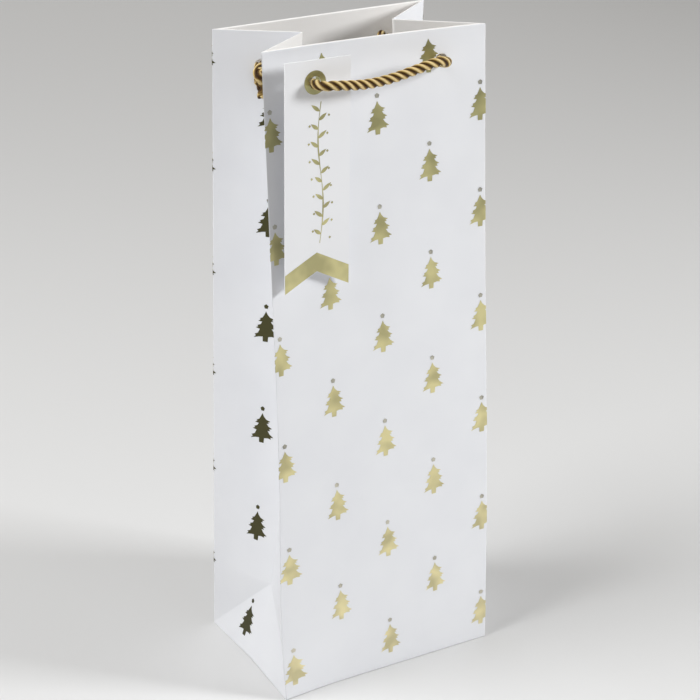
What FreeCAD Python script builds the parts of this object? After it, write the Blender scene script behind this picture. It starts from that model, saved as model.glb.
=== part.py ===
import FreeCAD, Part
import math
import os
import Sketcher
from FreeCAD import Placement, Rotation, Vector

# A tall gift bag for one bottle, folded from one sheet of laminated paper, with a short twisted
# rope handle on each side and a card tag. Millimetres, +Z up, front panel towards -Y, origin on
# the floor under the middle of the base. The mouth is pinched, so both gussets fold inwards.
# The back of the bag is the front turned half round about +Z, and so is each back or right piece.

doc = FreeCAD.newDocument("BottleBag")
sheet = doc.addObject("Spreadsheet::Sheet", "Sizes")

SIZES = [
    ("width", 127.0, "front panel, fold to fold"),
    ("depth", 92.0, "side of the bag at the base, fold to fold"),
    ("height", 355.0, "base to top edge"),
    ("mouthDepth", 56.5, "front edge to back edge at the mouth"),
    ("paperThick", 0.4, "laminated sheet"),
    ("cardThick", 1.0, "stiffening card under the rope holes"),
    ("boardThick", 1.2, "loose board on the base"),
    ("hemDrop", 40.0, "paper turned in at the mouth"),
    ("cardDrop", 36.0, "lower edge of the stiffening card below the top edge"),
    ("foldInset", 6.0, "side folds to the card and the turned-in paper"),
    ("gussetInset", 9.0, "side folds to the turned-in paper of the gussets"),
    ("creaseGap", 0.2, "gap left at a crease between two plates of the same sheet"),
    ("seamInset", 2.4, "left fold to the glued flap"),
    ("seamWidth", 14.0, "glued flap behind the front panel"),
    ("flapReach", 62.0, "front and back base flaps"),
    ("tuckReach", 34.0, "side base flaps"),
    ("flapGap", 0.9, "base flaps to the side folds"),
    ("boardGap", 1.8, "base board to the outside of the walls"),
    ("holeInset", 25.5, "side fold to rope hole"),
    ("holeDrop", 16.5, "top edge to rope hole"),
    ("ropeThick", 5.2, "twisted rope"),
    ("ropeClear", 1.6, "rope holes wider than the rope"),
    ("knotThick", 11.0, "rope knot across"),
    ("knotTall", 13.0, "rope knot, height"),
    ("knotGap", 0.6, "rope knot to the gusset it bears on"),
    ("tailLength", 7.0, "rope end below its knot"),
    ("tagWidth", 37.3, "tag"),
    ("tagLength", 120.0, "tag, top edge to tips"),
    ("tagThick", 0.5, "tag"),
    ("tagNotch", 9.5, "depth of the notch in the tag's lower edge"),
    ("tagHoleInset", 17.1, "left edge of the tag to its hole"),
    ("tagHoleDrop", 11.4, "top edge of the tag to its hole"),
    ("tagTilt", 0.8, "how far the tag hangs off plumb, in degrees"),
    ("tagGap", 1.9, "lower tips of the tag to the front panel"),
    ("hingeGap", 0.65, "tag to the rope loop in front of it"),
    ("hingeRise", 1.5, "rope hole to where the loop bends"),
    ("jointGap", 0.3, "rope loop to the fixed end of the rope"),
]
for row, (alias, value, note) in enumerate(SIZES, start=1):
    sheet.set(f"A{row}", str(value))
    sheet.setAlias(f"A{row}", alias)
    sheet.set(f"B{row}", note)
doc.recompute()


def value_of(text):
    """Value in millimetres of an expression made of sheet aliases."""
    return float(sheet.evalExpression(text))


def size(alias):
    return value_of("Sizes." + alias)


# Expressions used by more than one sketch.
HALF = "Sizes.width / 2"
SLANT = "sqrt(Sizes.height ^ 2 + ((Sizes.depth - Sizes.mouthDepth) / 2) ^ 2)"

BORE = "Sizes.ropeThick + Sizes.ropeClear"

halfWidth = size("width") / 2
halfDepth = size("depth") / 2
height = size("height")
paper = size("paperThick")
leanRun = (size("depth") - size("mouthDepth")) / 2
lean = math.atan2(leanRun, height)
slant = value_of(SLANT)
ropeRadius = size("ropeThick") / 2
ropeBore = value_of(BORE)
holeX = halfWidth - size("holeInset")
holeZ = (slant - size("holeDrop")) * math.cos(lean)


def half_gap(z):
    """Distance from the middle plane to the outside of the front panel at height z."""
    return halfDepth - leanRun * z / height


# The triangle at the foot of a gusset ends where its two slanting creases meet the middle crease.
kneeHeight = halfDepth / (1 + leanRun / height)
kneeInset = math.sqrt(halfDepth**2 - kneeHeight**2)
kneeTilt = math.degrees(math.asin(kneeInset / halfDepth))


def crease_inset(z):
    """How far the middle crease of a gusset stands in from the side, above the knee."""
    return math.sqrt(halfDepth**2 - half_gap(z) ** 2)


halfTurn = Placement(Vector(), Rotation(Vector(0, 0, 1), 180))
pieces = []  # every sub-part, in the order they are written


def keep(piece, label, place=None, turned=False):
    """Labels a sub-part, puts it in its place and adds it to the list."""
    place = place or Placement()
    piece.Placement = halfTurn.multiply(place) if turned else place
    piece.Label = label
    pieces.append(piece)
    return piece


def keep_shape(label, shape, turned=False):
    """A sub-part whose shape is worked out here: twisted paper, rope or knot."""
    piece = doc.addObject("Part::Feature", label)
    piece.Shape = shape
    return keep(piece, label, None, turned)


# Flat plates


def tie(sketch, edge, end, point):
    """Ties a sketch point to the origin by two distances that follow the sheet."""
    for kind, text in zip(("DistanceX", "DistanceY"), point):
        distance = Sketcher.Constraint(kind, -1, 1, edge, end, value_of(text))
        sketch.setExpression(f"Constraints[{sketch.addConstraint(distance)}]", text)


def plate(label, role, corners, thick, hole_at=(), deep="0", place=None, turned=False):
    """A plate padded from a sketch on its own origin plane, and moved inwards by deep."""
    body = doc.addObject("PartDesign::Body", label)
    sketch = body.newObject("Sketcher::SketchObject", label + "_outline")
    plane = [item for item in body.Origin.OriginFeatures if item.Role == role][0]
    sketch.AttachmentSupport = [(plane, "")]
    sketch.MapMode = "FlatFace"
    backwards = role == "XZ_Plane"  # the normal of this plane is -Y, and plates thicken to +Y
    sketch.setExpression(".AttachmentOffset.Base.z", f"-({deep})" if backwards else deep)

    count = len(corners)
    points = [Vector(value_of(u), value_of(v), 0) for u, v in corners]
    for index in range(count):
        sketch.addGeometry(Part.LineSegment(points[index], points[(index + 1) % count]), False)
    for index in range(count):
        sketch.addConstraint(Sketcher.Constraint("Coincident", index, 2, (index + 1) % count, 1))
    for index, corner in enumerate(corners):
        tie(sketch, index, 1, corner)
    for centre in hole_at:
        middle = Vector(value_of(centre[0]), value_of(centre[1]), 0)
        circle = Part.Circle(middle, Vector(0, 0, 1), ropeBore / 2)
        edge = sketch.addGeometry(circle, False)
        across = Sketcher.Constraint("Diameter", edge, ropeBore)
        sketch.setExpression(f"Constraints[{sketch.addConstraint(across)}]", BORE)
        tie(sketch, edge, 3, centre)

    pad = body.newObject("PartDesign::Pad", label + "_pad")
    pad.Profile = sketch
    pad.setExpression("Length", thick)
    pad.Reversed = backwards
    return keep(body, label, place, turned)


def rectangle(left, low, right, high):
    return [(left, low), (right, low), (right, high), (left, high)]


# The panels lean inwards from the base, so everything on a panel shares its tilted frame: x across,
# y inwards from the paper's outside, z up the slope from the base.
panelPlace = Placement(
    Vector(0, -halfDepth, paper * math.sin(lean)), Rotation(Vector(1, 0, 0), -math.degrees(lean))
)
ropeHoles = [
    (f"{sign}({HALF} - Sizes.holeInset)", f"{SLANT} - Sizes.holeDrop") for sign in ("-", "")
]
for side, turned in (("front", False), ("back", True)):
    inset = f"{HALF} - Sizes.foldInset"
    behindCard = "Sizes.paperThick + Sizes.cardThick"
    layers = [
        ("panel", rectangle(f"-{HALF}", "0", HALF, SLANT), "paperThick", "0"),
        (
            "stiffening_card",
            rectangle(
                f"-({inset})", f"{SLANT} - Sizes.cardDrop", inset, f"{SLANT} - Sizes.paperThick"
            ),
            "cardThick",
            "Sizes.paperThick",
        ),
        (
            "top_hem",
            rectangle(f"-({inset})", f"{SLANT} - Sizes.hemDrop", inset, SLANT),
            "paperThick",
            behindCard,
        ),
    ]
    for name, corners, thick, deep in layers:
        plate(
            f"{side}_{name}", "XZ_Plane", corners, "Sizes." + thick, ropeHoles, deep, panelPlace, turned
        )

seamLeft = f"-({HALF} - Sizes.seamInset)"
plate(
    "glued_seam_flap",
    "XZ_Plane",
    rectangle(
        seamLeft,
        "3 * Sizes.paperThick + Sizes.boardThick",
        f"{seamLeft} + Sizes.seamWidth",
        f"{SLANT} - Sizes.hemDrop - Sizes.creaseGap",
    ),
    "Sizes.paperThick",
    (),
    "Sizes.paperThick",
    panelPlace,
)

# Foot of each gusset: a triangle that stands on the side edge of the base and leans inwards.
footEdge = "(Sizes.depth / 2 - 3 * Sizes.creaseGap)"
footPlace = Placement(Vector(-halfWidth, 0, 0), Rotation(Vector(0, 1, 0), kneeTilt))
for side, turned in (("left", False), ("right", True)):
    plate(
        f"{side}_gusset_foot",
        "YZ_Plane",
        [
            (f"-{footEdge}", "Sizes.creaseGap"),
            (footEdge, "Sizes.creaseGap"),
            ("0", footEdge),
        ],
        "Sizes.paperThick",
        place=footPlace,
        turned=turned,
    )

# Base: two side flaps tucked in, two long flaps glued under them, and a loose board on top.
reachIn = f"({HALF} - Sizes.flapGap)"
backIn = "(Sizes.depth / 2 - Sizes.paperThick - Sizes.creaseGap)"
for level, (side, turned) in enumerate((("front", False), ("back", True))):
    plate(
        f"{side}_base_flap",
        "XY_Plane",
        rectangle(f"-{reachIn}", f"-{backIn}", reachIn, f"-{backIn} + Sizes.flapReach"),
        "Sizes.paperThick",
        deep=f"{level} * Sizes.paperThick",
        turned=turned,
    )
for side, turned in (("left", False), ("right", True)):
    tuckIn = f"(-{reachIn} + Sizes.tuckReach)"
    plate(
        f"{side}_base_tuck",
        "XY_Plane",
        [
            (f"-{reachIn}", f"-{backIn}"),
            (tuckIn, f"-{backIn} + Sizes.tuckReach / 2"),
            (tuckIn, f"{backIn} - Sizes.tuckReach / 2"),
            (f"-{reachIn}", backIn),
        ],
        "Sizes.paperThick",
        deep="2 * Sizes.paperThick",
        turned=turned,
    )
boardX = f"({HALF} - Sizes.boardGap)"
boardY = "(Sizes.depth / 2 - Sizes.boardGap)"
plate(
    "base_board",
    "XY_Plane",
    rectangle(f"-{boardX}", f"-{boardY}", boardX, boardY),
    "Sizes.boardThick",
    deep="3 * Sizes.paperThick",
)

# Gussets


def half_frame(z):
    """Front half of the left gusset at height z: its fold, inner end, direction and inward normal."""
    fold = Vector(-halfWidth, -half_gap(z), z)
    if z < kneeHeight:
        share = z / kneeHeight
        end = Vector(-halfWidth + kneeInset * share, -halfDepth * (1 - share), z)
    else:
        end = Vector(-halfWidth + crease_inset(z), 0, z)
    along = (end - fold).normalize()
    return fold, end, along, Vector(along.y, -along.x, 0)


def half_section(z, start, deep):
    """Thin four-sided section of that half, start mm from the fold and deep mm inside it."""
    fold, end, along, inward = half_frame(z)
    first = fold + along * start + inward * deep
    last = end - along * size("creaseGap") + inward * deep
    corners = [first, last, last + inward * paper, first + inward * paper, first]
    return Part.makePolygon(corners)


def clear_start(z):
    """Distance from the fold at which the half's inner face clears the inside of the panel."""
    along = half_frame(z)[2]
    return paper / math.tan(math.acos(along.x) / 2) + size("creaseGap")


gussetHole = half_frame(holeZ)[0] + half_frame(holeZ)[2] * size("holeInset")
gussetOut = half_frame(holeZ)[3] * -1
knotCentre = gussetHole + gussetOut * (size("knotThick") / 2 + size("knotGap"))
knotCentre.z -= size("knotThick") / 3


def mirrored(shape, flip_x, flip_y):
    """The same shape for the right side, the back, or both."""
    for flip, normal in ((flip_x, Vector(1, 0, 0)), (flip_y, Vector(0, 1, 0))):
        if flip:
            shape = shape.mirror(Vector(), normal)
    return shape


panelHole = Vector(-holeX, -half_gap(holeZ), holeZ)
ropeLine = (gussetHole - panelHole).normalize()
holeCut = Part.makeCylinder(ropeBore / 2, 12, gussetHole - ropeLine * 6, ropeLine)

upperLevels = [kneeHeight + (height - kneeHeight) * share for share in (0, 0.2, 0.45, 0.72, 1)]
lowest = 8 * paper
halfLevels = [lowest] + upperLevels
hemLevels = [height - size("hemDrop"), height]
gussetHalf = Part.makeLoft([half_section(z, clear_start(z), 0) for z in halfLevels], True, True)
gussetHem = Part.makeLoft(
    [half_section(z, size("gussetInset"), paper) for z in hemLevels], True, True
)
for side, flip_x in (("left", False), ("right", True)):
    for end, flip_y in (("front", False), ("rear", True)):
        keep_shape(f"{side}_gusset_{end}", mirrored(gussetHalf.cut(holeCut), flip_x, flip_y))
        keep_shape(f"{side}_gusset_hem_{end}", mirrored(gussetHem.cut(holeCut), flip_x, flip_y))

# Tag and ropes

# The tag hangs plumb in front of the leaning panel, on the rope that passes through its hole.
hingeZ = holeZ + size("hingeRise")
tagTipZ = hingeZ + size("tagHoleDrop") - size("tagLength")
tagFaceY = -half_gap(tagTipZ) - size("tagGap") - size("tagThick")
hingeY = tagFaceY - size("hingeGap") - ropeRadius
hingeLeft = Vector(-holeX - 2.9, hingeY, hingeZ)
hingeRight = Vector(holeX - 3.0, hingeY, hingeZ)
share = (tagFaceY + size("tagThick") / 2 - hingeY) / (panelHole.y - hingeY)
tagPivot = hingeLeft + (panelHole - hingeLeft) * share

right = "(Sizes.tagWidth - Sizes.tagHoleInset)"
plate(
    "gift_tag",
    "XZ_Plane",
    [
        ("-Sizes.tagHoleInset", "Sizes.tagHoleDrop - Sizes.tagLength"),
        (
            "Sizes.tagWidth / 2 - Sizes.tagHoleInset",
            "Sizes.tagHoleDrop - Sizes.tagLength + Sizes.tagNotch",
        ),
        (right, "Sizes.tagHoleDrop - Sizes.tagLength"),
        (right, "Sizes.tagHoleDrop"),
        ("-Sizes.tagHoleInset", "Sizes.tagHoleDrop"),
    ],
    "Sizes.tagThick",
    [("0", "0")],
    place=Placement(
        Vector(tagPivot.x, tagFaceY, tagPivot.z), Rotation(Vector(0, 1, 0), size("tagTilt"))
    ),
)


def rope(label, points):
    """A round tube along straight runs joined by tangent arcs, each as large as its runs allow."""
    edges = []
    last = points[0]
    radii = []
    for before, here, after in zip(points, points[1:], points[2:]):
        back = (before - here).normalize()
        on = (after - here).normalize()
        half = back.getAngle(on) / 2  # half the angle between the two runs
        shorter = min((before - here).Length, (after - here).Length)
        trim = 0.45 * shorter
        radii.append(trim * math.tan(half))
        first = here + back * trim
        final = here + on * trim
        bisector = (back + on).normalize()
        middle = here + bisector * (radii[-1] / math.sin(half) - radii[-1])
        edges.append(Part.LineSegment(last, first).toShape())
        edges.append(Part.Arc(first, middle, final).toShape())
        last = final
    edges.append(Part.LineSegment(last, points[-1]).toShape())
    path = Part.Wire(edges)
    start = (points[1] - points[0]).normalize()
    ring = Part.Wire([Part.makeCircle(ropeRadius, points[0], start)])
    tube = path.makePipeShell([ring], True, False)
    fill = tube.Volume / (math.pi * ropeRadius**2 * path.Length)
    sizes = " ".join(f"{radius:.1f}" for radius in radii)
    print(f"{label}: length {path.Length:.1f}, radii {sizes}, volume ratio {fill:.4f}")
    return tube


# Loop from hinge to hinge. Each point: how far along from the left hinge to the right one, then
# mm across, mm out from the hinge line and mm above it.
LOOP = [
    (0, 0.8, 3.1, 0.4),
    (0, 3.1, 5.3, 0.8),
    (0, 6.8, 6.4, 0.7),
    (0, 12.7, 6.9, -0.1),
    (0.3, -1.2, 7.1, -0.8),
    (0.5, -7.0, 6.8, -0.7),
    (0.5, 3.5, 6.4, 0.5),
    (0.7, -1.2, 5.9, 2.0),
    (1, -13.0, 5.2, 3.1),
    (1, -6.8, 4.6, 2.9),
    (1, -2.8, 3.2, 1.6),
]
span = hingeRight - hingeLeft
loopPoints = [hingeLeft]
for along, across, out, rise in LOOP:
    loopPoints.append(hingeLeft + span * along + Vector(across, -out, rise))
loopPoints.append(hingeRight)
loop = rope("loop", loopPoints)
for hinge, inner in ((hingeLeft, loopPoints[1]), (hingeRight, loopPoints[-2])):
    loop = loop.fuse(Part.makeSphere(ropeRadius, hinge, hinge - inner, 0, 90, 360))


def knot_shape(centre):
    """An upright knot, an ellipsoid, with the short rope end that hangs out of it."""
    wide = size("knotThick") / 2
    tall = size("knotTall") / 2
    stub = 0.9 * ropeRadius
    top = centre + Vector(0, 0, tall)
    turn = math.pi - math.asin(stub / wide)  # where the rope end leaves the ellipse
    ellipse = Part.Ellipse(top, centre + Vector(wide, 0, 0), centre)
    side = Part.ArcOfEllipse(ellipse, 0, turn)
    foot = centre - Vector(0, 0, tall + size("tailLength"))
    corners = [side.EndPoint, foot + Vector(stub, 0, 0), foot, top]
    profile = Part.Wire([side.toShape()] + Part.makePolygon(corners).Edges)
    return Part.Face(profile).revolve(centre, Vector(0, 0, 1), 360)


# A rope end: from just behind the loop, through the panel and the gusset, to a knot in the fold.
stackMiddle = paper + size("cardThick") / 2
ends = []
for name, hinge, sign in (("left", hingeLeft, 1), ("right", hingeRight, -1)):
    through = [
        panelHole + Vector(0.45, stackMiddle, 0),
        gussetHole + gussetOut * 0.3,
        knotCentre,
    ]
    inside = [Vector(sign * point.x, point.y, point.z) for point in through]
    outward = (inside[0] - hinge).normalize()
    start = hinge + outward * (ropeRadius + size("jointGap"))
    knot = knot_shape(inside[-1])
    tail = rope(f"{name} end", [start] + inside).cut(knot)
    ends.append((name, tail, knot))

for side, turned in (("front", False), ("back", True)):
    keep_shape(f"{side}_rope_loop", loop, turned)
    for name, tail, knot in ends:
        keep_shape(f"{side}_rope_{name}_end", tail, turned)
        keep_shape(f"{side}_rope_{name}_knot", knot, turned)

# Checks and files

doc.recompute()
for item in doc.Objects:
    if "Invalid" in item.State or "Error" in item.State:
        raise RuntimeError(f"{item.Label}: {item.State}")
for piece in pieces:
    if piece.Shape.isNull() or not piece.Shape.isValid() or piece.Shape.Volume <= 0:
        raise RuntimeError(f"{piece.Label}: bad shape")

os.makedirs("parts", exist_ok=True)
for piece in pieces:
    piece.Shape.exportStep(f"parts/{piece.Label}.step")
    box = piece.Shape.BoundBox
    count = len(piece.Shape.Solids)
    reach = f"z {box.ZMin:.1f} to {box.ZMax:.1f}"
    print(f"{piece.Label}: solids {count}, {piece.Shape.Volume:.0f} mm3, {reach}")
print(
    f"hinge line y {hingeY:.3f} z {hingeZ:.3f}, x {hingeLeft.x:.2f} and {hingeRight.x:.2f}; "
    f"tag pivot {tagPivot.x:.3f} {tagPivot.y:.3f} {tagPivot.z:.3f}; "
    f"knot {knotCentre.x:.2f} {knotCentre.y:.2f} {knotCentre.z:.2f}"
)
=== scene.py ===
import math
import bmesh
import bpy
import numpy as np
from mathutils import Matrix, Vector


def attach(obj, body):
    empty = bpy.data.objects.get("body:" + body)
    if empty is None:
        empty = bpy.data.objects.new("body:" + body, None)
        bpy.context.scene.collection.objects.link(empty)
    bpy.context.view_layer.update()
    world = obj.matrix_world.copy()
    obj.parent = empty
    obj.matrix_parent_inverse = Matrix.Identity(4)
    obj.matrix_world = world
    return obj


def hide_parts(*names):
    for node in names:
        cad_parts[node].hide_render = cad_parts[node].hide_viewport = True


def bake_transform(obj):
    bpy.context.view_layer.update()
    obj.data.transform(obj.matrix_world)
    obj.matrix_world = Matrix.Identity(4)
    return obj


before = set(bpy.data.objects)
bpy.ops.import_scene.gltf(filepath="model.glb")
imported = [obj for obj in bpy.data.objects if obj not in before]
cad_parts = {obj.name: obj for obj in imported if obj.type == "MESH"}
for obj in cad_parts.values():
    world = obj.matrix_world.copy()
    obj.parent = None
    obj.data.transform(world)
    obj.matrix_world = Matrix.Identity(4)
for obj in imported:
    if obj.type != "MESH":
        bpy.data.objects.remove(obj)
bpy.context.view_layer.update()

# A bottle gift bag of white laminated paper with gold foil trees, two short twisted rope handles
# and a swallow-tail tag. Sizes in the dictionaries are millimetres, the frame is metres.
mm = 0.001

# camera and stage
camera = {
    "place": (-524.59, -903.82, 619.10),
    "yaw": 30.19,  # degrees from +Y towards +X
    "pitch": 23.03,  # degrees below the horizon
    "lens": 107.27,
}
yaw, pitch = math.radians(camera["yaw"]), math.radians(camera["pitch"])
lookAt = Vector((math.sin(yaw) * math.cos(pitch), math.cos(yaw) * math.cos(pitch), -math.sin(pitch)))
cameraData = bpy.data.cameras.new("camera")
cameraData.sensor_width = 36
cameraData.lens = camera["lens"]
cameraData.clip_start, cameraData.clip_end = 0.05, 20
cameraObject = bpy.data.objects.new("camera", cameraData)
cameraObject.location = Vector(camera["place"]) * mm
cameraObject.rotation_mode = "QUATERNION"
cameraObject.rotation_quaternion = lookAt.to_track_quat("-Z", "Y")
bpy.context.collection.objects.link(cameraObject)
bpy.context.scene.camera = cameraObject


# material helpers
def newMaterial(name):
    material = bpy.data.materials.new(name)
    material.use_nodes = True
    nodes = material.node_tree.nodes
    return material, nodes, material.node_tree.links, nodes["Principled BSDF"]


def setValues(node, values):
    for name, value in values.items():
        node.inputs[name].default_value = value


def ramp(nodes, stops):  # colour ramp from a list of (position, colour)
    node = nodes.new("ShaderNodeValToRGB")
    band = node.color_ramp
    while len(band.elements) < len(stops):
        band.elements.new(0.5)
    for element, (place, colour) in zip(band.elements, stops):
        element.position = place
        element.color = (*colour, 1)
    return node


def grainGroup():  # fine fibre grain and slow unevenness of paper, on Object coordinates
    group = bpy.data.node_groups.new("paperGrain", "ShaderNodeTree")
    for name in ("Fine", "Slow"):
        socket = group.interface.new_socket(name, in_out="INPUT", socket_type="NodeSocketFloat")
        socket.default_value = 1.0
    for name in ("Height", "Tone"):
        group.interface.new_socket(name, in_out="OUTPUT", socket_type="NodeSocketFloat")
    nodes, links = group.nodes, group.links
    inputs, outputs = nodes.new("NodeGroupInput"), nodes.new("NodeGroupOutput")
    place = nodes.new("ShaderNodeTexCoord")
    parts = []
    for scale, detail, socket in ((2600, 3, "Fine"), (34, 2, "Slow")):
        noise = nodes.new("ShaderNodeTexNoise")
        setValues(noise, {"Scale": scale, "Detail": detail})
        links.new(place.outputs["Object"], noise.inputs["Vector"])
        scaled = nodes.new("ShaderNodeMath")
        scaled.operation = "MULTIPLY"
        links.new(noise.outputs["Fac"], scaled.inputs[0])
        links.new(inputs.outputs[socket], scaled.inputs[1])
        parts.append(scaled)
    total = nodes.new("ShaderNodeMath")
    total.operation = "ADD"
    links.new(parts[0].outputs[0], total.inputs[0])
    links.new(parts[1].outputs[0], total.inputs[1])
    links.new(total.outputs[0], outputs.inputs["Height"])
    links.new(parts[1].outputs[0], outputs.inputs["Tone"])
    return group


paperGrain = grainGroup()


def paperMaterial(name, light, dark, roughness, coat, bump):
    material, nodes, links, shader = newMaterial(name)
    grain = nodes.new("ShaderNodeGroup")
    grain.node_tree = paperGrain
    setValues(grain, {"Fine": 0.05, "Slow": 1.0})
    tone = ramp(nodes, [(0.3, dark), (0.7, light)])
    links.new(grain.outputs["Tone"], tone.inputs["Fac"])
    links.new(tone.outputs["Color"], shader.inputs["Base Color"])
    bumpNode = nodes.new("ShaderNodeBump")
    setValues(bumpNode, {"Strength": bump, "Distance": 0.0006})
    links.new(grain.outputs["Height"], bumpNode.inputs["Height"])
    links.new(bumpNode.outputs["Normal"], shader.inputs["Normal"])
    setValues(shader, {"Roughness": roughness, "Coat Weight": coat, "Coat Roughness": 0.28})
    return material


laminate = paperMaterial("whiteLaminate", (0.83, 0.84, 0.87), (0.80, 0.81, 0.845), 0.42, 0.25, 0.25)
# the turned-in laminate is a lighter, warmer copy of the outside laminate: painted light against the shade
# inside the mouth, with the warm tint of that shade
hemPaper = paperMaterial("hemLaminate", (0.885, 0.872, 0.86), (0.865, 0.85, 0.835), 0.5, 0.15, 0.25)
insidePaper = paperMaterial("barePaper", (0.82, 0.80, 0.765), (0.79, 0.765, 0.725), 0.75, 0.0, 0.4)
whiteCard = paperMaterial("tagCard", (0.85, 0.855, 0.875), (0.83, 0.835, 0.86), 0.4, 0.2, 0.12)


def foilMaterial(name, tones):
    # hot-stamped foil, with its reflections painted into the colour: painted reflections darker high up and
    # paler near the base, and painted shade on faces turned to the left
    material, nodes, links, shader = newMaterial(name)
    place = nodes.new("ShaderNodeTexCoord")
    split = nodes.new("ShaderNodeSeparateXYZ")
    links.new(place.outputs["Object"], split.inputs[0])
    # painted reflection: the colour runs from the pale tone near the base to the dark tone high up
    level = nodes.new("ShaderNodeMapRange")
    setValues(level, {"From Max": 0.36})
    links.new(split.outputs["Z"], level.inputs["Value"])
    front = ramp(nodes, tones)
    links.new(level.outputs[0], front.inputs["Fac"])
    facing = nodes.new("ShaderNodeNewGeometry")
    turn = nodes.new("ShaderNodeSeparateXYZ")
    links.new(facing.outputs["True Normal"], turn.inputs[0])
    # painted shade: foil on faces turned to the left is mixed towards the dark olive below
    side = nodes.new("ShaderNodeMapRange")
    setValues(side, {"From Min": -0.25, "From Max": -0.6})
    links.new(turn.outputs["X"], side.inputs["Value"])
    glint = nodes.new("ShaderNodeTexNoise")  # painted glints: soft uneven reflections painted into the colour, a few to each tree
    setValues(glint, {"Scale": 95, "Detail": 1})
    links.new(place.outputs["Object"], glint.inputs["Vector"])
    glow = nodes.new("ShaderNodeMapRange")
    setValues(glow, {"From Min": 0.35, "From Max": 0.65, "To Min": 0.8, "To Max": 1.16})
    links.new(glint.outputs["Fac"], glow.inputs["Value"])
    lit = nodes.new("ShaderNodeVectorMath")
    lit.operation = "SCALE"
    links.new(front.outputs["Color"], lit.inputs[0])
    links.new(glow.outputs[0], lit.inputs["Scale"])
    mix = nodes.new("ShaderNodeMix")
    mix.data_type = "RGBA"
    links.new(side.outputs[0], mix.inputs["Factor"])
    links.new(lit.outputs["Vector"], mix.inputs["A"])
    mix.inputs["B"].default_value = (0.085, 0.08, 0.035, 1)
    links.new(mix.outputs["Result"], shader.inputs["Base Color"])
    speckle = nodes.new("ShaderNodeTexNoise")
    setValues(speckle, {"Scale": 900})
    links.new(place.outputs["Object"], speckle.inputs["Vector"])
    rough = nodes.new("ShaderNodeMapRange")
    setValues(rough, {"To Min": 0.26, "To Max": 0.42})
    links.new(speckle.outputs["Fac"], rough.inputs["Value"])
    links.new(rough.outputs[0], shader.inputs["Roughness"])
    bumpNode = nodes.new("ShaderNodeBump")
    setValues(bumpNode, {"Strength": 0.12, "Distance": 0.0002})
    links.new(speckle.outputs["Fac"], bumpNode.inputs["Height"])
    links.new(bumpNode.outputs["Normal"], shader.inputs["Normal"])
    setValues(shader, {"Metallic": 0.85})
    return material


def ropeMaterial():  # twisted rayon, gold on the flanks, with painted dark brown shade in the grooves and painted cream highlights on the crests
    material, nodes, links, shader = newMaterial("goldRope")
    crest = nodes.new("ShaderNodeAttribute")
    crest.attribute_name = "crest"
    thread = nodes.new("ShaderNodeUVMap")
    thread.uv_map = "along"
    stretch = nodes.new("ShaderNodeMapping")
    setValues(stretch, {"Scale": (26, 260, 1), "Rotation": (0, 0, 0.5)})
    links.new(thread.outputs["UV"], stretch.inputs["Vector"])
    fibre = nodes.new("ShaderNodeTexNoise")
    setValues(fibre, {"Scale": 1.0, "Detail": 2.0})
    links.new(stretch.outputs["Vector"], fibre.inputs["Vector"])
    # painted shade and highlight by the crest value: dark brown shade low in the grooves, gold flanks, cream
    # highlights on the crests
    colour = ramp(nodes, [
        (0.50, (0.030, 0.012, 0.002)),
        (0.875, (0.095, 0.042, 0.007)),
        (0.945, (0.42, 0.27, 0.06)),
        (0.99, (0.90, 0.70, 0.34)),
    ])
    links.new(crest.outputs["Fac"], colour.inputs["Fac"])
    shade = nodes.new("ShaderNodeMapRange")
    setValues(shade, {"From Min": 0.3, "From Max": 0.7, "To Min": 0.62, "To Max": 1.12})
    links.new(fibre.outputs["Fac"], shade.inputs["Value"])
    scale = nodes.new("ShaderNodeVectorMath")
    scale.operation = "SCALE"
    links.new(colour.outputs["Color"], scale.inputs[0])
    links.new(shade.outputs[0], scale.inputs["Scale"])
    links.new(scale.outputs["Vector"], shader.inputs["Base Color"])
    bumpNode = nodes.new("ShaderNodeBump")
    setValues(bumpNode, {"Strength": 0.6, "Distance": 0.0003})
    links.new(fibre.outputs["Fac"], bumpNode.inputs["Height"])
    links.new(bumpNode.outputs["Normal"], shader.inputs["Normal"])
    setValues(shader, {"Roughness": 0.45, "Specular IOR Level": 0.3})
    return material


# foil tones from the base up to the top, holding the painted reflections: pale near the base, dark high up
goldFoil = foilMaterial("goldFoil", [
    (0.0, (0.80, 0.72, 0.43)), (0.45, (0.66, 0.60, 0.32)), (1.0, (0.41, 0.39, 0.185)),
])
starFoil = foilMaterial("starFoil", [
    (0.0, (0.70, 0.66, 0.55)), (0.45, (0.52, 0.50, 0.42)), (1.0, (0.46, 0.45, 0.39)),
])
goldRope = ropeMaterial()


def newPiece(name, points, faces, body, materials):  # points in mm, kept in the mesh
    mesh = bpy.data.meshes.new(name)
    mesh.from_pydata((np.asarray(points) * mm).tolist(), [], [list(face) for face in faces])
    mesh.update()
    piece = bpy.data.objects.new(name, mesh)
    bpy.context.collection.objects.link(piece)
    for material in materials:
        mesh.materials.append(material)
    if body:
        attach(piece, body)
    return piece


def smooth(piece):
    piece.data.polygons.foreach_set("use_smooth", [True] * len(piece.data.polygons))
    return piece


# the folded sheet
bag = {
    "width": 127.0,
    "depth": 92.0,
    "height": 355.0,
    "mouthDepth": 56.5,
    "paper": 0.36,
    "foldRound": 0.55,
    "creaseHalf": 0.3,
    "hemDrop": 40.0,
    "panelHem": 1.7,  # turned-in paper behind the stiffening card
    "gussetHem": 0.6,
    "twist": 3.42,  # front panel: right top edge forward, left top edge back
    "hollow": 2.66,  # front panel: middle of the mouth pressed in
    "wave": 0.22,
    "holeInset": 25.5,
    "holeZ": 338.5,
    "holeRadius": 3.4,
    "gussetHoleDrop": 1.5,
    "gussetHoleRadius": 3.0,
}
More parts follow.
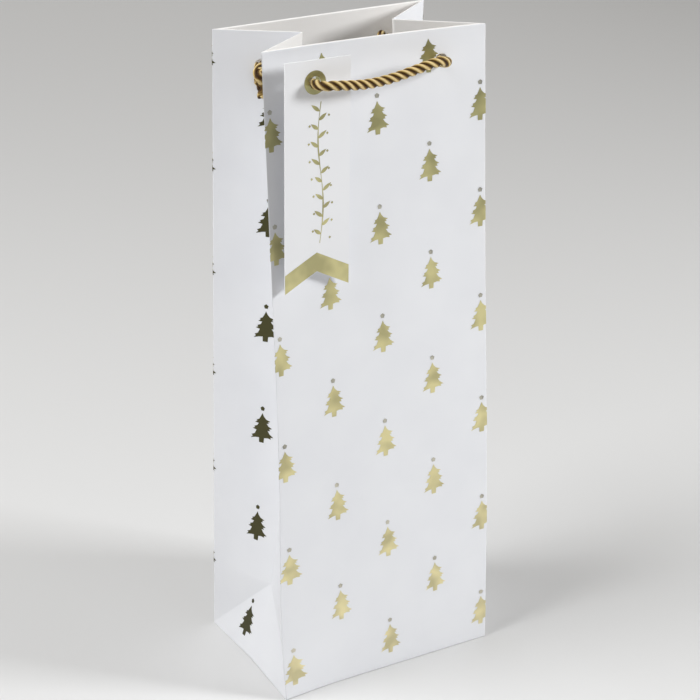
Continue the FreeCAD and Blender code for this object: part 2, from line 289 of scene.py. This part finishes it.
# soft bulges of the paper: t, z, move in x and y, and their spans round the sheet and up it
pushes = [
    (0, 35, -3.3, 0.0, 9, 55),
    (0, 0, -0.8, -2.0, 12, 18),
    (127, 95, 1.8, 0.0, 9, 75),
]
halfWidth, halfDepth, height = bag["width"] / 2, bag["depth"] / 2, bag["height"]
leanRun = (bag["depth"] - bag["mouthDepth"]) / 2
knee = halfDepth / (1 + leanRun / height)  # apex of the triangle at the foot of a gusset
kneeInset = math.sqrt(halfDepth**2 - knee**2)
# places of the folds in mm round the sheet, from the front left fold
rightFold = bag["width"]
rightCrease = rightFold + halfDepth
backRightFold = rightFold + bag["depth"]
backLeftFold = backRightFold + bag["width"]
leftCrease = backLeftFold + halfDepth
sheetRound = leftCrease + halfDepth


def sheetCorners(z, panelIn=0.0, gussetIn=0.0):
    # Eight corners of the section at z, anticlockwise from the front left fold. Each is moved in by
    # the two insets of its neighbours, along the bisector and across it.
    gap = halfDepth - leanRun * z / height
    low = z < knee
    inset = np.where(low, kneeInset * z / knee, np.sqrt(np.maximum(halfDepth**2 - gap**2, 0)))
    back = np.maximum(np.where(low, halfDepth * (1 - z / knee), 0), bag["creaseHalf"])
    wide = np.full_like(z, halfWidth)
    x = np.stack([-wide, wide, wide - inset, wide - inset, wide, -wide, inset - wide, inset - wide], -1)
    y = np.stack([-gap, -gap, -back, back, gap, gap, back, -back], -1)
    corner = np.stack([x, y], -1)
    run = np.roll(corner, -1, axis=-2) - corner
    length = np.linalg.norm(run, axis=-1)
    unit = run / np.maximum(length, 1e-9)[..., None]
    normal = np.stack([-unit[..., 1], unit[..., 0]], -1)
    each = np.zeros(z.shape + (8,))
    each[..., [0, 4]] = np.asarray(panelIn)[..., None]
    each[..., [1, 2, 3, 5, 6, 7]] = np.asarray(gussetIn)[..., None]
    before, beforeIn = np.roll(normal, 1, axis=-2), np.roll(each, 1, axis=-1)
    dot = (before * normal).sum(-1)
    along = (beforeIn + each) / 2 / np.maximum(1 + dot, 0.02)
    across = (beforeIn - each) / 2 / np.maximum(1 - dot, 0.02)
    moved = corner + along[..., None] * (before + normal) + across[..., None] * (before - normal)
    return moved, length, gap


def sharpPoint(t, z, panelIn=0.0, gussetIn=0.0):
    # Point of the sheet t mm round from the front left fold, with sharp folds.
    z = np.maximum(z, 0.02)
    zeros = np.zeros_like(z)
    corner, length, gap = sheetCorners(z, panelIn + zeros, gussetIn + zeros)
    reach = np.concatenate([zeros[..., None], np.cumsum(length, axis=-1)], -1)
    t = np.mod(t, reach[..., -1])
    x, y, rigid = zeros.copy(), zeros.copy(), zeros.copy()
    for k in range(8):
        here = (t >= reach[..., k]) & (t <= reach[..., k + 1])
        share = (t - reach[..., k]) / np.maximum(length[..., k], 1e-9)
        ends = corner[..., k, :], corner[..., (k + 1) % 8, :]
        x = np.where(here, ends[0][..., 0] * (1 - share) + ends[1][..., 0] * share, x)
        y = np.where(here, ends[0][..., 1] * (1 - share) + ends[1][..., 1] * share, y)
        rigid = np.where(here, 1.0 if k in (0, 4) else 0.0, rigid)
    rise = z / height
    side = np.where(rigid > 0, x / halfWidth, np.sign(x))
    weight = np.clip(-y / gap, 0, 1)
    y = y + weight * rise * (-bag["twist"] * side + bag["hollow"] * (1 - side**2))
    slow = np.sin(t / 21 + z / 47) * np.sin(z / 63 + 1.3)
    ripple = slow + 0.6 * np.sin(t / 9.0 + 2) * np.sin(z / 29)
    calm = rigid * (1 - side**2) * np.clip(z / 60, 0, 1)
    y = y + bag["wave"] * calm * ripple
    for pushT, pushZ, moveX, moveY, spanT, spanZ in pushes:
        away = np.mod(t - pushT + sheetRound / 2, sheetRound) - sheetRound / 2
        pull = np.exp(-((away / spanT) ** 2) / 2 - ((z - pushZ) / spanZ) ** 2 / 2)
        x, y = x + moveX * pull, y + moveY * pull
    return np.stack([x, y, z], -1)


def sheetPoint(t, z, panelIn=0.0, gussetIn=0.0):
    # The same with rounded folds: the mean of sharp points over a short stretch either side.
    steps = np.linspace(-1, 1, 7) * bag["foldRound"]
    return sum(sharpPoint(t + step, z, panelIn, gussetIn) for step in steps) / len(steps)


def spread(length, count, dense=(), span=4.6, step=0.75):
    # Shares from 0 to 1, close together near both ends and near the dense places.
    even = np.linspace(0, length, count)
    near = np.array([0.35, 0.8, 1.5])
    places = [even, near, length - near]
    for middle in dense:
        places.append(np.arange(middle - span, middle + span + 0.01, step))
    joined = np.sort(np.concatenate(places))
    keep = np.concatenate([[True], np.diff(joined) > 0.22])
    return joined[keep] / length


def bagRows():
    # Heights from base to mouth, then over the edge and down the turned-in part (share in = 1).
    up = spread(height, 96, (bag["holeZ"],)) * height
    up = up[up < height - 0.3]
    up = np.sort(np.concatenate([up, [knee - 0.4, knee, knee + 0.4]]))
    over = np.array([height - 0.12, height, height, height - 0.12])
    down = up[up > height - bag["hemDrop"]][::-1]
    z = np.concatenate([up, over, down])
    share = np.concatenate([np.zeros(len(up)), [0.05, 0.3, 0.7, 0.95], np.ones(len(down))])
    return z, share


def makeBag():
    z, share = bagRows()
    hole = bag["holeInset"]
    panel = spread(bag["width"], 46, (hole, bag["width"] - hole))
    half = spread(halfDepth, 16, (hole,))
    half = half[(half > 0) & (half < 1)]
    half = np.concatenate([[0], half, [1]])
    middle = np.array([0, 0.5, 1.0])
    shares = [panel, half, middle, 1 - half[::-1], panel, half, middle, 1 - half[::-1]]
    _, length, _ = sheetCorners(np.maximum(z, 0.02))
    reach = np.concatenate([np.zeros((len(z), 1)), np.cumsum(length, axis=-1)], -1)
    columns, owner = [], []
    for k, part in enumerate(shares):
        columns.append(reach[:, k : k + 1] + part[None, :-1] * length[:, k : k + 1])
        owner += [k] * (len(part) - 1)
    t = np.concatenate(columns, axis=1)
    owner = np.array(owner)
    zGrid = np.repeat(z[:, None], t.shape[1], axis=1)
    inGrid = np.repeat(share[:, None], t.shape[1], axis=1)
    points = sheetPoint(t, zGrid, inGrid * bag["panelHem"], inGrid * bag["gussetHem"])

    # points inside a rope hole are pushed out to its edge, and the faces between them are left out
    gone = np.zeros(t.shape, bool)
    for k in (0, 1, 3, 4, 5, 7):
        holeZ, radius, middles = bag["holeZ"], bag["holeRadius"], (hole, bag["width"] - hole)
        if k not in (0, 4):  # a gusset half
            holeZ, radius = holeZ - bag["gussetHoleDrop"], bag["gussetHoleRadius"]
            middles = [hole if k in (1, 5) else halfDepth - hole]
        for inset in middles:
            around = t - (reach[:, k] + inset)[:, None]
            rise = zGrid - holeZ
            off = np.hypot(around, rise)
            inside = (off < radius) & (owner == k)[None, :]
            target = np.where(inside, radius / np.maximum(off, 1e-6), 1)
            moved = sheetPoint(
                (reach[:, k] + inset)[:, None] + around * target,
                holeZ + rise * target,
                inGrid * bag["panelHem"],
                inGrid * bag["gussetHem"],
            )
            points = np.where(inside[..., None], moved, points)
            gone |= inside

    rows, count = t.shape
    index = np.arange(rows * count).reshape(rows, count)
    right = np.roll(index, -1, axis=1)
    faces = np.stack([index[:-1], right[:-1], right[1:], index[1:]], -1).reshape(-1, 4)
    flat = gone.reshape(-1)
    materials = [laminate, insidePaper, hemPaper, insidePaper]  # outside, inside, turned in, its back
    kinds = np.repeat(np.where(share[:-1] > 0, materials.index(hemPaper), 0), count)
    kept = ~flat[faces].all(axis=1)
    faces, kinds = faces[kept], kinds[kept]
    piece = newPiece("folded_sheet", points.reshape(-1, 3), faces, "bag", materials)
    piece.data.polygons.foreach_set("material_index", kinds)
    tidy = bmesh.new()
    tidy.from_mesh(piece.data)
    bmesh.ops.delete(tidy, geom=[v for v in tidy.verts if not v.link_faces], context="VERTS")
    bmesh.ops.remove_doubles(tidy, verts=tidy.verts, dist=0.00001)
    tidy.to_mesh(piece.data)
    tidy.free()
    smooth(piece)
    wall = piece.modifiers.new("paper", "SOLIDIFY")
    wall.thickness = bag["paper"] * mm
    wall.offset = -1
    wall.material_offset = 1
    wall.material_offset_rim = 0
    names = ["panel", "stiffening_card", "top_hem"]
    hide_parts(*[f"{side}_{name}" for side in ("front", "back") for name in names])
    for side in ("left", "right"):
        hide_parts(f"{side}_gusset_foot", f"{side}_gusset_front", f"{side}_gusset_rear")
        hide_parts(f"{side}_gusset_hem_front", f"{side}_gusset_hem_rear")
    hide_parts("glued_seam_flap")


# foil trees on the sheet
trees = {
    "rows": 7,
    "rowPitch": 59.51,
    "topStar": 325.83,
    "lowestStar": 6,
    "frontColumns": (3.7, 34.0, 64.5, 94.1, 123.4),
    "rightColumns": (26.6, 56.5),
    "backInset": 4.3,
    "backPitch": 30,
    "leftInset": 14.5,  # left gusset: behind the crease, a little lower and wider
    "leftRise": -1.7,
    "leftWide": 1.11,
    "footBelow": 40,  # its lowest tree, on the base fold
    "footShift": 1.6,
    "footRise": -0.4,
    "bulgeShift": 2.5,  # first front column: moved with the bulge of the fold at this height and span
    "bulgeZ": 45,
    "bulgeSpan": 55,
    "climb": 0.9,  # front: the print runs uphill to the right, and this fades out towards the mouth
    "climbTop": 330,
    "climbSpan": 120,
    "topDrop": 1.2,  # how much lower the highest rows sit, growing from this height over this span
    "dropFrom": 270,
    "dropSpan": 55,
    "edgeZ": 345,  # trees whose stars would be above this are cut by the mouth
    "edgeDrop": 1.2,
    "starOuter": 1.4,
    "starInner": 0.5,
    "proud": 0.09,
}
treeOutline = [
    (0, -2.7), (0.9, -4.6), (2.2, -6.0), (4.6, -6.9), (3.2, -7.5), (3.9, -8.2), (2.6, -8.4), (3.6, -9.8),
    (5.7, -11.0), (4.1, -11.4), (4.7, -12.4), (3.2, -12.5), (4.4, -14.3), (6.7, -16.0), (5.0, -16.2),
    (5.4, -17.2), (3.4, -16.9), (1.5, -17.3), (1.3, -20.2), (-1.3, -20.2), (-1.4, -17.4), (-3.2, -17.6),
    (-6.2, -18.5), (-5.0, -17.2), (-5.7, -16.4), (-4.0, -15.6), (-3.0, -13.2), (-5.2, -12.6), (-3.9, -11.9),
    (-4.3, -11.2), (-2.6, -10.4), (-1.9, -8.9), (-3.9, -8.7), (-2.7, -7.6), (-3.1, -7.0), (-1.7, -6.4),
    (-0.8, -4.6),
]


def starOutline(outer, inner, points=5):
    turn = np.arange(2 * points) * math.pi / points + math.pi / 2
    reach = np.where(np.arange(2 * points) % 2 == 0, outer, inner)
    return list(zip(reach * np.cos(turn), reach * np.sin(turn)))


def treePlaces():  # (t, z, width share) of each star: front, right gusset, back, left gusset
    columns = [(t, k % 2, 0, 1) for k, t in enumerate(trees["frontColumns"])]
    columns += [(rightFold + t, 1 - k, 0, 1) for k, t in enumerate(trees["rightColumns"])]
    backFirst = backLeftFold - trees["backInset"]
    columns += [(backFirst - trees["backPitch"] * k, (k + 1) % 2, 0, 1) for k in range(5)]
    columns += [(leftCrease - trees["leftInset"], 0, trees["leftRise"], trees["leftWide"])]
    places = []
    for t, odd, rise, wide in columns:
        for row in range(trees["rows"]):
            z = trees["topStar"] - trees["rowPitch"] * (row - (0.5 if odd else 0))
            if z < trees["lowestStar"]:
                continue
            along = t
            if t == trees["frontColumns"][0]:
                off = (z - trees["bulgeZ"]) / trees["bulgeSpan"]
                along += trees["bulgeShift"] * math.exp(-(off**2) / 2)
            if t > backLeftFold and z < trees["footBelow"]:
                along, rise = t + trees["footShift"], trees["footRise"]
            if t < rightFold:
                calm = min(max((trees["climbTop"] - z) / trees["climbSpan"], 0), 1)
                rise = (t - 64) / 64 * trees["climb"] * calm
            share = min(max((z - trees["dropFrom"]) / trees["dropSpan"], 0), 1)
            drop = trees["topDrop"] * share + trees["edgeDrop"] * (z > trees["edgeZ"])
            places.append((along, z + rise - drop, wide))
    return places


def flatShapes(outlines, second=()):
    # one flat mesh of filled outlines; those whose numbers are in second get the second material
    flat = bmesh.new()
    for k, outline in enumerate(outlines):
        ring = [flat.verts.new((u, v, 0)) for u, v in outline]
        flat.faces.new(ring).material_index = int(k in second)
    bmesh.ops.triangulate(flat, faces=flat.faces, ngon_method="EAR_CLIP")
    return flat


def cut(flat, point, normal, drop=False):  # cuts faces along a line, and drops what lies past it
    bmesh.ops.bisect_plane(
        flat, geom=flat.verts[:] + flat.edges[:] + flat.faces[:], dist=0.0005,
        plane_co=point, plane_no=normal, clear_outer=drop,
    )


def makeTrees():
    # The foil is laid out flat, cut along the folds and levels, and carried onto the sheet.
    outlines = []
    star = starOutline(trees["starOuter"], trees["starInner"])
    for t, z, wide in treePlaces():
        outlines.append([(t + u * wide, z + v) for u, v in treeOutline])
        # stars along the front edge are lifted past the mouth, where the cut drops them
        lift = 30 if t < rightFold and z > trees["edgeZ"] else 0
        outlines.append([(t + u, z + v + lift) for u, v in star])
    flat = flatShapes(outlines, range(1, len(outlines), 2))
    cut(flat, (0.1, 0, 0), (-1, 0, 0), True)
    for near in (0.35, 0.7, 1.2, 2.0):
        cut(flat, (near, 0, 0), (1, 0, 0))
    cut(flat, (0, height - 0.2, 0), (0, 1, 0), True)
    cut(flat, (0, 0.3, 0), (0, -1, 0), True)
    for fold in (rightFold, rightCrease, backRightFold, backLeftFold, leftCrease):
        for side in (-1.0, -0.5, -0.2, 0, 0.2, 0.5, 1.0):
            cut(flat, (fold + side, 0, 0), (1, 0, 0))
    for corner in (rightFold, backLeftFold):
        cut(flat, (corner, 0, 0), (knee, -halfDepth, 0))
        cut(flat, (corner + bag["depth"], 0, 0), (knee, halfDepth, 0))
    for step in range(1, 12):
        cut(flat, (0, step * 29.7, 0), (0, 1, 0))
    bmesh.ops.triangulate(flat, faces=flat.faces)
    flat.verts.index_update()
    place = np.array([v.co[:2] for v in flat.verts])
    faces = [[v.index for v in face.verts] for face in flat.faces]
    kinds = [face.material_index for face in flat.faces]
    flat.free()
    proud = -trees["proud"]
    points = sheetPoint(place[:, 0], place[:, 1], proud, proud)
    piece = newPiece("foil_trees", points, faces, "bag", [goldFoil, starFoil])
    piece.data.polygons.foreach_set("material_index", kinds)


makeBag()
makeTrees()
print("sheet and foil made")

# tag
pivot = np.array([-39.978, -36.829, 339.544])
tag = {
    "width": 37.3,
    "length": 120.0,
    "thick": 0.5,
    "notch": 9.5,
    "holeInset": 17.1,
    "holeDrop": 11.4,
    "holeRadius": 3.1,
    "tilt": 0.8,
    "ringRadius": 6.1,
    "bandHeight": 10.2,
    "curl": 0.5,
    "foilProud": 0.05,
    "denseTop": 0.948,  # shares of the height between which the rows round the hole are close together
    "denseBottom": 0.86,
}
# the sprig of leaves and stars, in mm from the tag's hole
sprig = {
    "top": -10,
    "bottom": -84,
    "aside": 3.4,
    "sway": 1.6,
    "swayLength": 11.5,
    "firstLeaf": -15,
    "lastLeaf": -82,
    "leafPitch": 4.6,
    "leafLength": 6.2,
    "leafWidth": 2.0,
    "leafLean": 52,
    "starOut": 5.2,
    "starDown": 2.4,
    "starOuter": 0.75,
    "starInner": 0.34,
}


def tagPoint(u, v, out=0.0):
    # u mm right and v mm up from the hole; the card bows forward a little along its long edges.
    across = (u + tag["holeInset"] - tag["width"] / 2) / (tag["width"] / 2)
    fall = np.clip(-v / tag["length"], 0, 1)
    bow = tag["curl"] * across**2 * fall
    angle = math.radians(tag["tilt"])
    x = pivot[0] + u * math.cos(angle) + v * math.sin(angle)
    z = pivot[2] - u * math.sin(angle) + v * math.cos(angle)
    return np.stack([x, pivot[1] - out - bow, z + 0 * u], -1)


def tagEdge(u):  # height of the swallow-tail edge
    share = np.abs((u + tag["holeInset"]) / tag["width"] * 2 - 1)
    return tag["holeDrop"] - tag["length"] + tag["notch"] * (1 - share)


def makeTag():
    left, top = -tag["holeInset"], tag["holeDrop"]
    right = left + tag["width"]
    even = np.linspace(left, right, 25)
    u = np.unique(np.concatenate([even, [(left + right) / 2], np.arange(-4.2, 4.3, 0.6)]))
    below, start, stop = np.linspace(0, 1, 40), tag["denseBottom"], tag["denseTop"]
    drop = np.concatenate([below[below < start], np.arange(start, stop, 0.0052), below[below > stop], [1.0]])
    drop = np.unique(np.round(drop, 5))
    uGrid, share = np.meshgrid(u, drop)
    low = tagEdge(uGrid)
    # rows follow the swallow-tail below and lie level at the hole
    vGrid = low * (1 - share) + top * share
    off = np.hypot(uGrid, vGrid)
    inside = off < tag["holeRadius"]
    grow = np.where(inside, tag["holeRadius"] / np.maximum(off, 1e-6), 1)
    points = tagPoint(uGrid * grow, vGrid * grow)
    rows, count = uGrid.shape
    index = np.arange(rows * count).reshape(rows, count)
    faces = np.stack([index[:-1, :-1], index[:-1, 1:], index[1:, 1:], index[1:, :-1]], -1).reshape(-1, 4)
    flat = inside.reshape(-1)
    faces = faces[~flat[faces].all(axis=1)]
    piece = newPiece("gift_tag_card", points.reshape(-1, 3), faces, "tag", [whiteCard])
    wall = piece.modifiers.new("card", "SOLIDIFY")
    wall.thickness = tag["thick"] * mm
    wall.offset = -1
    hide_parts("gift_tag")


def leaf(base, angle, length, width):  # pointed leaf: half sine each side of its midrib
    along = np.linspace(0, 1, 7)
    swell = np.sin(np.pi * along**0.8) * width / 2
    upper = list(zip(along * length, swell))
    lower = list(zip(along[::-1] * length, -swell[::-1]))[1:-1]
    turn = math.radians(angle)
    c, s = math.cos(turn), math.sin(turn)
    return [(base[0] + a * c - b * s, base[1] + a * s + b * c) for a, b in upper + lower]


def makeTagFoil():
    left = -tag["holeInset"]
    right = left + tag["width"]
    middle = (left + right) / 2
    band = tag["bandHeight"]
    edge = [(left + 0.1, tagEdge(left)), (middle, tagEdge(middle)), (right - 0.1, tagEdge(right))]
    strips = []
    for (u0, v0), (u1, v1) in zip(edge, edge[1:]):
        strips.append([(u0, v0 + 0.1), (u1, v1 + 0.1), (u1, v1 + band), (u0, v0 + band)])
    # a sprig down the middle: a winding sine stem, leaves to each side, small stars
    v = np.linspace(sprig["top"], sprig["bottom"], 38)
    stem = sprig["aside"] + sprig["sway"] * np.sin((v - sprig["top"]) / sprig["swayLength"])
    thick = 0.28 + 0.12 * np.sin((v - sprig["top"]) / 5)
    shapes = list(strips)
    for k in range(len(v) - 1):
        shapes.append([
            (stem[k] - thick[k], v[k]), (stem[k + 1] - thick[k + 1], v[k + 1]),
            (stem[k + 1] + thick[k + 1], v[k + 1]), (stem[k] + thick[k], v[k]),
        ])
    star = starOutline(sprig["starOuter"], sprig["starInner"], 4)
    for k, level in enumerate(np.arange(sprig["firstLeaf"], sprig["lastLeaf"], -sprig["leafPitch"])):
        sway = sprig["sway"] * math.sin((level - sprig["top"]) / sprig["swayLength"])
        base = (sprig["aside"] + sway, level)
        side = 1 if k % 2 else -1
        lean = 90 - side * sprig["leafLean"]
        shapes.append(leaf(base, lean, sprig["leafLength"] - 0.5 * (k % 3), sprig["leafWidth"]))
        tip = (base[0] - side * sprig["starOut"], level - sprig["starDown"])
        shapes.append([(tip[0] + a, tip[1] + b) for a, b in star])
    flat = flatShapes(shapes)
    # the ring round the hole
    ring = np.linspace(0, 2 * math.pi, 48, endpoint=False)
    radii = (tag["holeRadius"] + 0.05, tag["ringRadius"])
    inner, outer = [[flat.verts.new((r * math.cos(a), r * math.sin(a), 0)) for a in ring] for r in radii]
    for k in range(len(ring)):
        after = (k + 1) % len(ring)
        flat.faces.new([inner[k], outer[k], outer[after], inner[after]])
    for step in range(-3, 6):
        cut(flat, (step * 4.0, 0, 0), (1, 0, 0))
    bmesh.ops.triangulate(flat, faces=flat.faces)
    bmesh.ops.recalc_face_normals(flat, faces=flat.faces)
    flat.verts.index_update()
    place = np.array([v.co[:2] for v in flat.verts])
    faces = []
    for face in flat.faces:
        corners = [v.index for v in face.verts]
        (ax, ay), (bx, by), (cx, cy) = place[corners]
        turn = (bx - ax) * (cy - ay) - (by - ay) * (cx - ax)
        faces.append(corners if turn > 0 else corners[::-1])
    flat.free()
    points = tagPoint(place[:, 0], place[:, 1], tag["foilProud"])
    newPiece("tag_foil", points, faces, "tag", [goldFoil])


makeTag()
makeTagFoil()
print("tag made")

# ropes
rope = {
    "diameter": 5.2,
    "strandRadius": 1.36,
    "strandOff": 1.26,
    "lay": 14.6,  # mm along the rope for one turn of a strand
    "sides": 12,
    "step": 0.55,
    "hingeY": -40.079,
    "hingeZ": 340.021,
    "exit": (-38.0, -28.8, 338.5),
    "fibreLength": 40,
}
hingeLeft = np.array([-40.9, rope["hingeY"], 339.4])
hingeRight = np.array([35.0, rope["hingeY"], rope["hingeZ"]])
# (along from left hinge to right hinge, across, out, up), the loop's route
loopRoute = [
    (0, 0.8, 3.1, -0.2), (0, 3.1, 5.3, 0.1), (0, 6.8, 6.4, 0.0), (0, 12.7, 6.9, -0.6),
    (0.3, -1.2, 7.1, -1.7), (0.5, -7.0, 6.8, -1.9), (0.5, 3.5, 6.4, -0.9), (0.7, -1.2, 5.9, 0.7),
    (1, -13.0, 5.2, 2.4), (1, -6.8, 4.6, 2.9), (1, -2.8, 3.2, 1.8),
]
knotAt = np.array([-47.59, -8.23, 334.85])
insideRoute = [knotAt, np.array([-43.8, -13.5, 336.8]), np.array([-38.5, -27.9, 337.0])]
knotForm = {
    "shift": (1.3, 0, -2.2),  # its middle from the end of the rope
    "wide": 2.1,
    "tall": 3.3,
    "deep": 2.0,
    "tail": [(0, 0, -2), (0.3, 0.2, -5.5), (-0.2, -0.2, -8), (0.2, 0.1, -11.0)],
    "tailLean": 0.6,
    "frayLength": 3,
    "fray": 0.14,
}


def ropeRoute():
    points = list(insideRoute) + [hingeLeft]
    for along, across, out, up in loopRoute:
        points.append(hingeLeft + (hingeRight - hingeLeft) * along + np.array([across, -out, up]))
    points.append(hingeRight)
    points += [point * np.array([-1, 1, 1]) for point in insideRoute[::-1]]
    return np.array(points)


def splinePoints(route, closed=False):  # points along the smooth line through a route's control points
    curve = bpy.data.curves.new("route", "CURVE")
    curve.dimensions = "3D"
    curve.resolution_u = 24
    spline = curve.splines.new("NURBS")
    spline.points.add(len(route) - 1)
    spline.points.foreach_set("co", np.concatenate([route * mm, np.ones((len(route), 1))], 1).ravel())
    spline.order_u = 3
    if closed:
        spline.use_cyclic_u = True
    else:
        spline.use_endpoint_u = True
    holder = bpy.data.objects.new("route", curve)
    mesh = bpy.data.meshes.new_from_object(holder)
    points = np.array([v.co[:] for v in mesh.vertices]) / mm
    bpy.data.objects.remove(holder)
    bpy.data.curves.remove(curve)
    bpy.data.meshes.remove(mesh)
    return points


def evenly(points, step):  # the same line at even steps
    gaps = np.linalg.norm(np.diff(points, axis=0), axis=1)
    reach = np.concatenate([[0], np.cumsum(gaps)])
    count = max(int(reach[-1] / step), 8)
    places = np.linspace(0, reach[-1], count)
    return np.stack([np.interp(places, reach, points[:, k]) for k in range(3)], 1), places


def strands(line, places, phase=0.0, taper=None):
    # Three round strands wound round a line: centre = line + off (cos a up + sin a side), and each
    # strand is a tube round its own centre line. Returns points, quads, crest values and uv.
    heading = np.gradient(line, axis=0)
    heading /= np.linalg.norm(heading, axis=1)[:, None]
    up = np.zeros_like(line)
    up[:, 2] = 1
    sideways = np.cross(heading, up)
    sideways /= np.linalg.norm(sideways, axis=1)[:, None]
    upright = np.cross(sideways, heading)
    shrink = np.ones(len(line)) if taper is None else taper
    rim = rope["strandOff"] + rope["strandRadius"]
    allPoints, allFaces, allCrest, allUv, start = [], [], [], [], 0
    for k in range(3):
        turn = 2 * math.pi * (places / rope["lay"] + k / 3) + phase
        spoke = np.cos(turn)[:, None] * upright + np.sin(turn)[:, None] * sideways
        centre = line + spoke * (rope["strandOff"] * shrink)[:, None]
        own = np.gradient(centre, axis=0)
        own /= np.linalg.norm(own, axis=1)[:, None]
        first = spoke - (spoke * own).sum(1)[:, None] * own
        first /= np.linalg.norm(first, axis=1)[:, None]
        second = np.cross(own, first)
        round1 = np.linspace(0, 2 * math.pi, rope["sides"], endpoint=False)
        ring = np.cos(round1)[None, :, None] * first[:, None, :]
        ring = ring + np.sin(round1)[None, :, None] * second[:, None, :]
        points = centre[:, None, :] + ring * (rope["strandRadius"] * shrink)[:, None, None]
        # crest: distance from the rope's line, which the rope's colour uses for painted shade in the grooves
        # and painted highlights on the crests
        off = np.linalg.norm(points - line[:, None, :], axis=2) / rim
        rows, count = points.shape[:2]
        index = np.arange(rows * count).reshape(rows, count) + start
        right = np.roll(index, -1, axis=1)
        faces = np.stack([index[:-1], right[:-1], right[1:], index[1:]], -1).reshape(-1, 4).tolist()
        faces.append(index[0][::-1].tolist())
        faces.append(index[-1].tolist())
        allPoints.append(points.reshape(-1, 3))
        allFaces += faces
        allCrest.append(off.reshape(-1))
        uv = np.broadcast_arrays(places[:, None] / rope["fibreLength"] + k, round1[None, :] / 6.3)
        allUv.append(np.stack(uv, -1).reshape(-1, 2))
        start += rows * count
    return np.concatenate(allPoints), allFaces, np.concatenate(allCrest), np.concatenate(allUv)


def ropePiece(name, parts, turned, body):
    points, faces, crest, uv, start = [], [], [], [], 0
    for part in parts:
        points.append(part[0])
        faces += [[corner + start for corner in face] for face in part[1]]
        crest.append(part[2])
        uv.append(part[3])
        start += len(part[0])
    points = np.concatenate(points) * (np.array([-1, -1, 1]) if turned else 1)
    piece = newPiece(name, points, faces, body, [goldRope])
    mesh = piece.data
    mesh.attributes.new("crest", "FLOAT", "POINT").data.foreach_set("value", np.concatenate(crest))
    layer = mesh.uv_layers.new(name="along")
    corner = np.empty(len(mesh.loops), int)
    mesh.loops.foreach_get("vertex_index", corner)
    layer.data.foreach_set("uv", np.concatenate(uv)[corner].ravel())
    return smooth(piece)


def knotRoute(centre, mirror):
    # Overhand knot: a trefoil, (sin a + 2 sin 2a, cos a - 2 cos 2a, -sin 3a), squashed to the knot's size.
    a = np.linspace(0, 2 * math.pi, 19)[:-1]
    x = (np.sin(a) + 2 * np.sin(2 * a)) / 3 * knotForm["wide"]
    z = (np.cos(a) - 2 * np.cos(2 * a)) / 3 * knotForm["tall"]
    y = -np.sin(3 * a) * knotForm["deep"]
    return centre + np.stack([x * mirror, y, z], 1)


def makeRope(side, turned):  # the back rope is the front one turned half round
    line, places = evenly(splinePoints(ropeRoute()), rope["step"])
    main = ropePiece(f"{side}_rope", [strands(line, places)], turned, None)
    for name, mirror in (("left", 1), ("right", -1)):
        centre = (knotAt + np.array(knotForm["shift"])) * np.array([mirror, 1, 1])
        loopLine, loopPlaces = evenly(splinePoints(knotRoute(centre, mirror), True), rope["step"])
        tailRoute = centre + np.array(knotForm["tail"])
        tailRoute[:, 0] += np.linspace(0, knotForm["tailLean"], 4) * mirror
        tailLine, tailPlaces = evenly(splinePoints(tailRoute), rope["step"])
        fromEnd = (tailPlaces - tailPlaces[-1] + knotForm["frayLength"]) / knotForm["frayLength"]
        flare = 0.92 + knotForm["fray"] * np.clip(fromEnd, 0, 1)
        parts = [strands(loopLine, loopPlaces, 1.0), strands(tailLine + 1e-4, tailPlaces, 0.4, flare)]
        knot = ropePiece(f"{side}_{name}_knot", parts, turned, "bag")
        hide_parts(f"{side}_rope_{name}_knot")
    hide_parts(f"{side}_rope_loop", f"{side}_rope_left_end", f"{side}_rope_right_end")
    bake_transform(main)


makeRope("front", False)
makeRope("back", True)
print("ropes made")

# the parts of the base keep their own solids
baseMaterials = {
    "front_base_flap": laminate,
    "back_base_flap": laminate,
    "left_base_tuck": laminate,
    "right_base_tuck": laminate,
    "base_board": insidePaper,
}
for name, material in baseMaterials.items():
    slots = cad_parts[name].data.materials
    slots.clear()
    slots.append(material)

# floor and light
studio = {
    "floor": (0.68, 0.68, 0.68),
    "world": (1, 0.95, 0.86),  # a warm fill, so that the shade is a little brown
    "worldStrength": 0.20,
}
lights = {  # place and aim in metres, size, power, colour
    "key": ((1.2, -1.02, 0.9), (0, 0, 0.2), 0.4, 22.4, (0.98, 0.99, 1.0)),
    "side": ((-1.1, 0.15, 1.45), (0, 0, 0.16), 1.0, 25.5, (0.985, 0.992, 1.0)),
    "front": ((-0.2, -1.9, 1.5), (0, 0, 0.15), 1.6, 0.4, (1, 1, 1)),
    "back": ((0.5, 1.9, 1.2), (0, 0, 0.15), 1.4, 7.0, (1, 1, 1)),
}
bpy.ops.mesh.primitive_plane_add(size=12, location=(0, 1.5, -0.0002))
floor = bpy.context.object
floor.name = "floor"
floorMaterial, _, _, floorShader = newMaterial("paleFloor")
setValues(floorShader, {"Base Color": (*studio["floor"], 1), "Roughness": 0.8, "Specular IOR Level": 0.1})
floor.data.materials.append(floorMaterial)

for name, (place, aim, size, power, colour) in lights.items():
    data = bpy.data.lights.new(name, "AREA")
    data.size, data.energy, data.color = size, power, colour
    lamp = bpy.data.objects.new(name, data)
    lamp.location = place
    lamp.rotation_mode = "QUATERNION"
    lamp.rotation_quaternion = (Vector(aim) - Vector(place)).to_track_quat("-Z", "Y")
    bpy.context.collection.objects.link(lamp)
world = bpy.data.worlds.new("studio")
world.use_nodes = True
background = world.node_tree.nodes["Background"]
setValues(background, {"Color": (*studio["world"], 1), "Strength": studio["worldStrength"]})
bpy.context.scene.world = world
bpy.context.scene.view_settings.view_transform = "Standard"
print("stage made")
